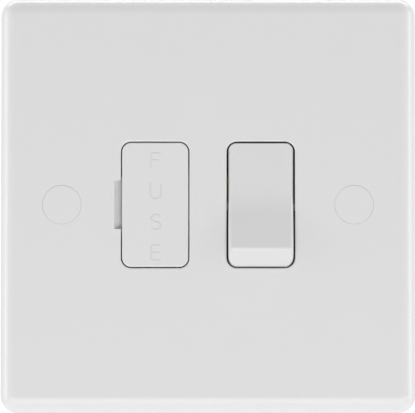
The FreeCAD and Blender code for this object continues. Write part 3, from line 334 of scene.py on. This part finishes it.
# Housing marks
# Plain capitals raised by the mould on the tray's back, beside the wells of the terminals that they
# name. They are beads of the tray's own plastic.
MARK_SIZE = (0.0017, 0.0024)
MARK_BEAD = (0.0002, 0.00018)
MARK_GAP = 0.005
TITLE_SIZE = (0.0015, 0.0022)
TITLE_STEP = 0.0026
TITLE_GAP = 0.0095
STROKE_SIDES = 10
STROKE_POINTS = 33
ARC_POINTS = 24
BEAD_CREASE = 60.0


def stroke(path, bead, out):
    """Raised bead along a path of (across, up) corners, on a surface that faces Y times out.

    The path is sampled closer towards its ends. Its section is an ellipse, bead[0] to each side and
    bead[1] high, which shrinks to nothing at both ends as the square root of 1 - e^2, where e runs
    from 0 to 1 over the last bead[0] of the length. Across is read from in front of the surface.
    """
    steps = np.hypot(*np.diff(path, axis=0).T)
    length = np.concatenate([[0.0], np.cumsum(steps)])
    even = (1 - np.cos(np.linspace(0, math.pi, STROKE_POINTS))) / 2 * length[-1]
    line = np.column_stack([np.interp(even, length, path[:, axis]) for axis in (0, 1)])
    ahead = np.gradient(line, axis=0)
    ahead /= np.hypot(*ahead.T)[:, None]
    near_end = np.clip(1 - np.minimum(even, length[-1] - even) / bead[0], 0.0, 1.0)
    swell = np.sqrt(1 - near_end ** 2)
    around = np.linspace(0, 2 * math.pi, STROKE_SIDES, endpoint=False)
    side = bead[0] * swell[:, None] * np.cos(around)
    rise = bead[1] * swell[:, None] * np.sin(around)
    across = line[:, :1] - ahead[:, 1:] * side
    up = line[:, 1:] + ahead[:, :1] * side
    points = np.stack([-out * across, out * rise, up], axis=2).reshape(-1, 3)
    return points, grid_faces(STROKE_POINTS, STROKE_SIDES, wrap=True)


def arc(across, up, wide, high, start, end):
    """Points along part of an ellipse, from one angle in degrees to another."""
    angle = np.radians(np.linspace(start, end, ARC_POINTS))
    return np.column_stack([across + wide * np.cos(angle), up + high * np.sin(angle)])


def letters():
    """Strokes of plain capitals, each with its foot at 0, its top at 1 and its sides near 0 and 1."""
    stem = [(0, 0), (0, 1)]
    far_stem = [(1, 0), (1, 1)]
    top = [(0, 1), (1, 1)]
    foot = [(0, 0), (1, 0)]
    ring = arc(0.5, 0.5, 0.56, 0.5, -15, 375)
    bowl = np.vstack([[(0, 1)], arc(0.5, 0.75, 0.45, 0.25, 90, -90), [(0, 0.5)]])
    belly = np.vstack([[(0, 1)], arc(0.4, 0.5, 0.62, 0.5, 90, -90), [(0, 0)]])
    cup = np.vstack([[(-0.06, 1.05)], arc(0.5, 0.33, 0.56, 0.33, 180, 360), [(1.06, 1.05)]])
    hooks = np.vstack([arc(0.5, 0.755, 0.5, 0.245, 25, 270), arc(0.5, 0.255, 0.5, 0.255, 90, -155)[1:]])
    return {
        "A": [[(0, 0), (0.5, 1)], [(0.5, 1), (1, 0)], [(0.2, 0.36), (0.8, 0.36)]],
        "D": [stem, belly],
        "E": [stem, top, [(0, 0.52), (0.88, 0.52)], foot],
        "F": [stem, top, [(0, 0.56), (0.85, 0.56)]],
        "L": [stem, foot],
        "N": [stem, [(0, 1), (1, 0)], far_stem],
        "O": [ring],
        "P": [stem, bowl],
        "S": [hooks],
        "U": [cup],
        "Y": [[(0, 1), (0.5, 0.48)], [(1, 1), (0.5, 0.48)], [(0.5, 0.5), (0.5, 0)]],
    }


def spell(word, shapes, place, size, step, bead, out):
    """Points and faces of a word: each letter is its unit strokes times size, moved on by step.

    place is the first letter's near foot, and out is the way that the surface faces along Y.
    """
    found = []
    for count, letter in enumerate(word):
        shift = np.array(step) * count
        for path in shapes[letter]:
            points, faces = stroke(np.array(path, float) * size + shift, bead, out)
            found.append((points + place, faces))
    return merged(found)


def centred(word, across, up, size, step):
    """Near foot of a word that is centred on a point of the tray's back, seen from behind."""
    wide = size[0] + step * (len(word) - 1)
    return (across + wide / 2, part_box("rear_housing")[1][1], up - size[1] / 2)


capitals = letters()
words = []
for side, way, title in (("supply", 1, "SUPPLY"), ("load", -1, "LOAD")):
    for pole, mark in (("live", "L"), ("neutral", "N"), ("earth", "E")):
        well = middle(f"{side}_{pole}_terminal")
        foot = centred(mark, well[0], well[2] + way * MARK_GAP, MARK_SIZE, 0.0)
        words.append(spell(mark, capitals, foot, MARK_SIZE, (0.0, 0.0), MARK_BEAD, 1))
    foot = centred(title, middle("rear_housing")[0], well[2] + way * TITLE_GAP, TITLE_SIZE, TITLE_STEP)
    words.append(spell(title, capitals, foot, TITLE_SIZE, (TITLE_STEP, 0.0), MARK_BEAD, 1))
solid("housing_marks", *merged(words), housing_finish, "base", "housing_plastic", crease=BEAD_CREASE)

# Earth strap and switch straps
# Stamped from half-hard brass strip, 0.8 mm thick. The strip shows the mill's long lines, and the
# press leaves its edges square. The earth strap joins the earth terminals to one fixing screw.
STRIP = {"Colour": (0.76, 0.57, 0.27, 1.0), "Tarnish": (0.6, 0.42, 0.19, 1.0), "Gloss": 0.24,
         "Drift": 0.12}
upright_strip = finish("strip_upright", worked, STRIP | {"Lines": (7000.0, 7000.0, 250.0)},
                       relief=0.000003, Metallic=1.0)
level_strip = finish("strip_level", worked, STRIP | {"Lines": (250.0, 7000.0, 7000.0)},
                     relief=0.000003, Metallic=1.0)
dress(upright_strip, "earth_strap", "supply_live_strap", "supply_neutral_strap", "live_fixed_strap",
      "neutral_fixed_strap")
dress(level_strip, "load_live_strap")

# See-saw contacts
# Two brass arms that rock on the ridges of their straps, each with a silver tip riveted through its
# end. The fixed tips face them on the fixed straps.
contact_finish = finish("contact_brass", worked, STRIP | {"Gloss": 0.2, "Lines": (6000.0, 900.0, 200.0)},
                        relief=0.000002, Metallic=1.0)
tip_finish = finish("silver_tip", worked,
                    {"Colour": (0.8, 0.79, 0.76, 1.0), "Tarnish": (0.62, 0.6, 0.55, 1.0), "Gloss": 0.26,
                     "Drift": 0.14, "Lines": (3000.0, 3000.0, 3000.0)}, relief=0.000003, Metallic=1.0)
dress(contact_finish, "live_moving_contact", "neutral_moving_contact")
dress(tip_finish, "live_moving_tip", "neutral_moving_tip", "live_fixed_tip", "neutral_fixed_tip")

# Fuse clips
# Two spring clips of phosphor bronze strip, redder than the brass, polished where a fuse slides in.
# They grip the fuse's end caps when the carrier is pushed home.
clip_finish = finish("clip_bronze", worked,
                     {"Colour": (0.74, 0.48, 0.27, 1.0), "Tarnish": (0.55, 0.33, 0.18, 1.0),
                      "Gloss": 0.18, "Drift": 0.12, "Lines": (500.0, 500.0, 8000.0)},
                     relief=0.000003, Metallic=1.0)
dress(clip_finish, "lower_fuse_clip", "upper_fuse_clip")

# Housing screws
# Four zinc-plated thread-forming screws with slotted pan heads, driven from behind into the
# plate's pillars. Their coarse thread cuts its own way into the plastic.
HOUSING_HEAD_RADIUS = 0.0023
HOUSING_HEAD_HEIGHT = 0.0016
HOUSING_HEAD_EDGE = 0.0007
HOUSING_SLOT = (0.00045, 0.00055)
HOUSING_CREST_RADIUS = 0.00125
HOUSING_ROOT_RADIUS = 0.00095
HOUSING_PITCH = 0.001
HOUSING_TIP_RADIUS = 0.0002
HOUSING_TIP_SLOPE = 0.6
HOUSING_BARE = (0.0004, 0.0001)
zinc_finish = finish("zinc_plate", worked,
                     {"Colour": (0.57, 0.59, 0.62, 1.0), "Tarnish": (0.43, 0.45, 0.48, 1.0),
                      "Gloss": 0.28, "Drift": 0.16, "Lines": (500.0, 9000.0, 500.0)},
                     relief=0.000003, Metallic=1.0)
low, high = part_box("housing_screws")
length = high[1] - low[1]
points, faces = slotted_screw(
    head=(HOUSING_HEAD_RADIUS, HOUSING_HEAD_HEIGHT, HOUSING_HEAD_EDGE), slot=HOUSING_SLOT,
    stages=[(HOUSING_HEAD_HEIGHT, HOUSING_ROOT_RADIUS)],
    thread=(HOUSING_CREST_RADIUS, HOUSING_ROOT_RADIUS, HOUSING_PITCH,
            HOUSING_HEAD_HEIGHT + HOUSING_BARE[0], length - HOUSING_BARE[1]),
    tip=(length, HOUSING_TIP_RADIUS, HOUSING_TIP_SLOPE))
places = [(across * (high[0] - HOUSING_HEAD_RADIUS), high[1], up * (high[2] - HOUSING_HEAD_RADIUS))
          for across in (-1, 1) for up in (-1, 1)]
pan_screws = solid("housing_pan_screws", *repeat(points, faces, places, swap=-1.0), zinc_finish, "base",
                   "zinc_steel")
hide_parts("housing_screws")

# Fixing screws
# Two nickel-plated M3.5 screws with slotted heads, which hold the plate to its wall box. A waisted
# neck keeps them from dropping out of the bosses.
FIXING_HEAD_RADIUS = 0.0033
FIXING_HEAD_HEIGHT = 0.0023
FIXING_HEAD_EDGE = 0.000575
FIXING_SLOT = (0.0009, 0.0011)
FIXING_NECK_RADIUS = 0.00155
FIXING_CREST_RADIUS = 0.00175
FIXING_ROOT_RADIUS = 0.00142
FIXING_PITCH = 0.0006
FIXING_TIP_RADIUS = 0.0011
FIXING_TIP_SLOPE = 1.2
FIXING_STEP = 0.0001
FIXING_BARE = (0.0002, 0.0002)
nickel_finish = finish("nickel_plate", worked,
                       {"Colour": (0.6, 0.58, 0.54, 1.0), "Tarnish": (0.48, 0.46, 0.42, 1.0),
                        "Gloss": 0.2, "Drift": 0.12, "Lines": (400.0, 9000.0, 400.0)},
                       relief=0.000002, Metallic=1.0)
low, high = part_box("fixing_screws")
length = high[1] - low[1]
neck_end = -low[1]
points, faces = slotted_screw(
    head=(FIXING_HEAD_RADIUS, FIXING_HEAD_HEIGHT, FIXING_HEAD_EDGE), slot=FIXING_SLOT,
    stages=[(FIXING_HEAD_HEIGHT, FIXING_NECK_RADIUS), (neck_end, FIXING_NECK_RADIUS),
            (neck_end + FIXING_STEP, FIXING_ROOT_RADIUS)],
    thread=(FIXING_CREST_RADIUS, FIXING_ROOT_RADIUS, FIXING_PITCH, neck_end + FIXING_BARE[0],
            length - FIXING_BARE[1]),
    tip=(length, FIXING_TIP_RADIUS, FIXING_TIP_SLOPE))
places = [(across * (high[0] - FIXING_HEAD_RADIUS), low[1], 0.0) for across in (-1, 1)]
wall_screws = solid("plate_fixing_screws", *repeat(points, faces, places), nickel_finish, "base",
                    "plated_steel")
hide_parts("fixing_screws")

# Screw caps
# Two push-in covers of the same plastic as the plate, pressed flush over the fixing screws. Each
# pulls straight out.
cap_finish = finish("cap_gloss", moulded,
                    {"Colour": PLATE_WHITE, "Shade": PLATE_SHADE, "Gloss": 0.22, "Drift": 0.04,
                     "Grain": 1100.0}, relief=0.0000004, IOR=UREA_IOR)
dress(cap_finish, "left_screw_cap", "right_screw_cap")

# Rocker
# Polycarbonate moulding with a dished front and a bevelled lower end, snapped in by its trunnions.
# Its white is a shade darker than the plate's.
ROCKER_WHITE = (0.7, 0.7, 0.702, 1.0)
ROCKER_SHADE = (0.695, 0.695, 0.695, 1.0)
rocker_finish = finish("rocker_gloss", moulded,
                       {"Colour": ROCKER_WHITE, "Shade": ROCKER_SHADE, "Gloss": 0.24, "Drift": 0.03,
                        "Grain": 1000.0}, relief=0.0000003, IOR=1.58)
dress(rocker_finish, "rocker")

# Plungers and their springs
# Each pole has an acetal plunger in the rocker's stem, dark and waxy, pushed on to its see-saw
# contact by a spring of hard drawn wire.
plunger_finish = finish("plunger_acetal", moulded,
                        {"Colour": (0.05, 0.05, 0.052, 1.0), "Shade": (0.035, 0.035, 0.037, 1.0),
                         "Gloss": 0.36, "Drift": 0.1, "Grain": 3000.0}, relief=0.000004, IOR=1.48)
spring_finish = finish("spring_wire", worked,
                       {"Colour": (0.56, 0.56, 0.55, 1.0), "Tarnish": (0.42, 0.42, 0.41, 1.0),
                        "Gloss": 0.22, "Drift": 0.12, "Lines": (2500.0, 2500.0, 2500.0)},
                       relief=0.000002, Metallic=1.0)
dress(plunger_finish, "live_plunger", "neutral_plunger")
dress(spring_finish, "live_spring", "neutral_spring")

# Cartridge fuse
# A 25.4 mm ceramic tube with bright plated brass end caps crimped on, and the element wire inside.
# It stands in the carrier's cradle and comes out with it.
ceramic_finish = finish("fuse_ceramic", moulded,
                        {"Colour": (0.79, 0.76, 0.69, 1.0), "Shade": (0.72, 0.68, 0.6, 1.0),
                         "Gloss": 0.5, "Drift": 0.2, "Grain": 4200.0}, relief=0.00002, IOR=1.5)
end_cap_finish = finish("fuse_end_cap", worked,
                        {"Colour": (0.78, 0.77, 0.74, 1.0), "Tarnish": (0.66, 0.64, 0.6, 1.0),
                         "Gloss": 0.14, "Drift": 0.1, "Lines": (500.0, 500.0, 7000.0)},
                        relief=0.000002, Metallic=1.0)
element_finish = finish("element_wire", worked,
                        {"Colour": (0.74, 0.73, 0.7, 1.0), "Tarnish": (0.6, 0.58, 0.55, 1.0),
                         "Gloss": 0.2, "Drift": 0.1, "Lines": (4000.0, 4000.0, 400.0)},
                        relief=0.000001, Metallic=1.0)
dress(ceramic_finish, "fuse_barrel")
dress(end_cap_finish, "fuse_upper_end", "fuse_lower_end")
dress(element_finish, "fuse_element")

# Fuse carrier
# The front block is flush with the plate, with hooked legs and a cradle for the fuse behind it. The
# word down its front is raised by the mould, in thin even strokes. The strokes are coloured greyer
# than the carrier as painted shade.
WORD_SIZE = (0.00195, 0.0031)
WORD_SHIFT = 0.00014
WORD_FOOT = 0.00749
WORD_STEP = (0.0, -0.00634)
WORD_BEAD = (0.0002, 0.00006)
carrier_finish = finish("carrier_gloss", moulded,
                        {"Colour": PLATE_WHITE, "Shade": PLATE_SHADE, "Gloss": 0.24, "Drift": 0.03,
                         "Grain": 1000.0}, relief=0.0000003, IOR=UREA_IOR)
dress(carrier_finish, "fuse_carrier")
# The word's grey is painted shade: its strokes get a darker colour than the carrier's white.
word_painted_shade = finish("word_painted_shade_gloss", moulded,
                     {"Colour": (0.66, 0.66, 0.66, 1.0), "Shade": (0.64, 0.64, 0.64, 1.0),
                      "Gloss": 0.28, "Drift": 0.06, "Grain": 1400.0}, relief=0.000001, IOR=UREA_IOR)
foot = (middle("fuse_carrier")[0] + WORD_SHIFT - WORD_SIZE[0] / 2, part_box("fuse_carrier")[0][1], WORD_FOOT)
solid("carrier_word", *spell("FUSE", capitals, foot, WORD_SIZE, WORD_STEP, WORD_BEAD, -1), word_painted_shade,
      "carrier", "carrier_plastic", crease=BEAD_CREASE)

# Studio
# White surroundings. What a camera, a mirror or glass sees of them is brighter than the light that
# they cast, so the ground reads as white paper while the plate stays below white.
FLOOR_LEVEL = -0.82
FLOOR_SPAN = 30.0
FLOOR_LIFT = 0.5
FLOOR_PAINT = (0.9, 0.9, 0.9, 1.0)
FLOOR_ROUGHNESS = 0.8
BACKGROUND = (1.0, 1.0, 1.0, 1.0)
WORLD_LEVEL = 0.48


def seen_direct(tree):
    """1 for camera, mirror and glass rays, 0 for the light that reaches other surfaces."""
    path = node(tree, "LightPath").outputs
    found = node(tree, "Math", {0: path["Is Camera Ray"], 1: path["Is Glossy Ray"]}, operation="MAXIMUM")
    return node(tree, "Math", {0: found.outputs[0], 1: path["Is Transmission Ray"]},
                operation="MAXIMUM").outputs[0]


def pale_floor():
    """Plain square floor, stage only, which keeps the part's shadow and is clear from below."""
    half = FLOOR_SPAN / 2
    corners = [(across, back, FLOOR_LEVEL) for across, back in
               ((-half, -half), (half, -half), (half, half), (-half, half))]
    mesh = bpy.data.meshes.new("studio_floor")
    mesh.from_pydata(corners, [], [(0, 1, 2, 3)])
    floor = bpy.data.objects.new("studio_floor", mesh)
    bpy.context.scene.collection.objects.link(floor)
    floor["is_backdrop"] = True
    material = bpy.data.materials.new("pale_floor")
    material.use_nodes = True
    tree = material.node_tree
    surface = tree.nodes["Principled BSDF"]
    surface.inputs["Base Color"].default_value = FLOOR_PAINT
    surface.inputs["Roughness"].default_value = FLOOR_ROUGHNESS
    surface.inputs["Emission Color"].default_value = BACKGROUND
    lift = node(tree, "MapRange", {"Value": seen_direct(tree), "To Min": 0.0, "To Max": FLOOR_LIFT})
    tree.links.new(lift.outputs["Result"], surface.inputs["Emission Strength"])
    above = node(tree, "Math", {0: 1.0, 1: node(tree, "NewGeometry").outputs["Backfacing"]},
                 operation="SUBTRACT")
    tree.links.new(above.outputs[0], surface.inputs["Alpha"])
    mesh.materials.append(material)


def pale_world():
    """Even white sky, dimmer as a source of light than it looks."""
    world = bpy.data.worlds.new("studio")
    world.use_nodes = True
    tree = world.node_tree
    tree.nodes.clear()
    level = node(tree, "MapRange", {"Value": seen_direct(tree), "To Min": WORLD_LEVEL, "To Max": 1.0})
    glow = node(tree, "Background", {"Color": BACKGROUND, "Strength": level.outputs["Result"]})
    node(tree, "OutputWorld", {"Surface": glow.outputs["Background"]})
    return world


def soft_box(name, place, width, height, power):
    """Area lamp at a place, facing the part."""
    lamp = bpy.data.lights.new(name, "AREA")
    lamp.shape = "RECTANGLE"
    lamp.size = width
    lamp.size_y = height
    lamp.energy = power
    lit = bpy.data.objects.new(name, lamp)
    lit.location = place
    lit.rotation_euler = (-Vector(place)).to_track_quat("-Z", "Y").to_euler()
    bpy.context.scene.collection.objects.link(lit)


pale_floor()
bpy.context.scene.world = pale_world()
soft_box("top_box", (0.0, 0.3, 0.85), width=1.6, height=0.4, power=7.3)
soft_box("front_box", (0.0, -0.92, -0.52), width=1.9, height=0.6, power=6.5)
for name, side in (("left_box", -1), ("right_box", 1)):
    soft_box(name, (side * 0.9, -0.12, 0.05), width=0.5, height=0.8, power=2.8)

# Camera
# Square on to the plate and a few degrees below its middle, as in the photograph. The view is just
# as wide as the plate's front.
CAMERA_DISTANCE = 0.9
CAMERA_DROP = 3.0
CLIP_NEAR, CLIP_FAR = 0.01, 20.0
SENSOR = 36.0
FRONT_WIDTH = 0.0856
FACE_LEVEL = -0.009
AIM = Vector((-0.0001, FACE_LEVEL, -0.00037))
camera = bpy.data.objects.new("camera", bpy.data.cameras.new("camera"))
bpy.context.scene.collection.objects.link(camera)
bpy.context.scene.camera = camera
camera.data.sensor_width = SENSOR
camera.data.lens = SENSOR * CAMERA_DISTANCE / FRONT_WIDTH
camera.data.clip_start = CLIP_NEAR
camera.data.clip_end = CLIP_FAR
drop = math.radians(-CAMERA_DROP)
back = Vector((0.0, -math.cos(drop), math.sin(drop)))
camera.location = AIM + back * CAMERA_DISTANCE
camera.rotation_euler = (-back).to_track_quat("-Z", "Y").to_euler()
bpy.context.scene.view_settings.view_transform = "Standard"

# Size
# The box of the finished model, in metres.
low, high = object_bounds()
